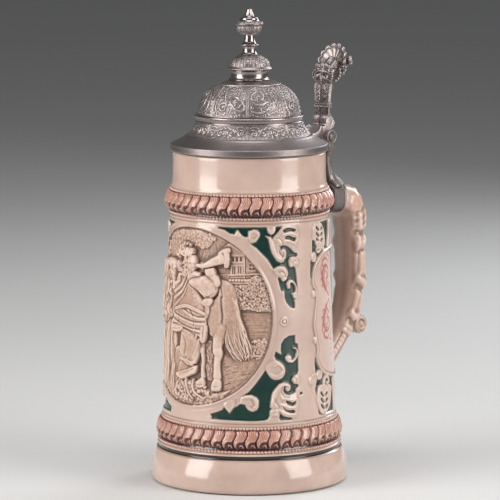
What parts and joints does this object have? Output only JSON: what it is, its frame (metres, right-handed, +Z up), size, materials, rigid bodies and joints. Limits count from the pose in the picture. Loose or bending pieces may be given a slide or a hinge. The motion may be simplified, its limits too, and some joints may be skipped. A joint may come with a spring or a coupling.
{
  "type": "beer stein",
  "caption": "Tall relief stoneware beer stein with a side handle and a domed, hinged pewter lid with a finial and a shell thumblift.",
  "frame": {"origin": "centre of the flat underside of the foot", "axes": "+Z up along the mug's axis, +X towards the handle and hinge, +Y completes a right-handed frame and is parallel to the hinge pin"},
  "size_m": [0.1652, 0.126, 0.3011],
  "materials": {
    "relief_stoneware": "cream glazed stoneware with brown-washed relief, green and oxblood glaze",
    "handle_stoneware": "cream glazed stoneware",
    "pewter_plain": "satin pewter",
    "pewter_embossed": "embossed pewter with dark patina in the hollows",
    "pewter_polished": "turned and polished pewter"
  },
  "bodies": {
    "root": {"mug_body": "relief_stoneware", "handle": "handle_stoneware", "handle_collar": "pewter_plain", "hinge_shank": "pewter_plain", "hinge_pin": "pewter_plain", "pin_cap_left": "pewter_plain", "pin_cap_right": "pewter_plain"},
    "lid": {"lid_rim": "pewter_plain", "lid_skirt": "pewter_embossed", "lid_moulding": "pewter_plain", "lid_dome": "pewter_embossed", "lid_neck": "pewter_polished", "finial_base": "pewter_polished", "finial_stem": "pewter_polished", "finial_cup": "pewter_polished", "finial_tip": "pewter_polished", "finial_stud": "pewter_plain", "finial_nut": "pewter_plain", "lid_tongue": "pewter_plain", "thumblift_post": "pewter_embossed", "thumblift_shell": "pewter_embossed"}
  },
  "joints": [
    {"name": "lid_hinge", "type": "hinge", "parent": "root", "child": "lid", "pos_m": [0.0655, 0, 0.2154], "axis": [0, 1, 0], "range_deg": [0, 95]}
  ]
}
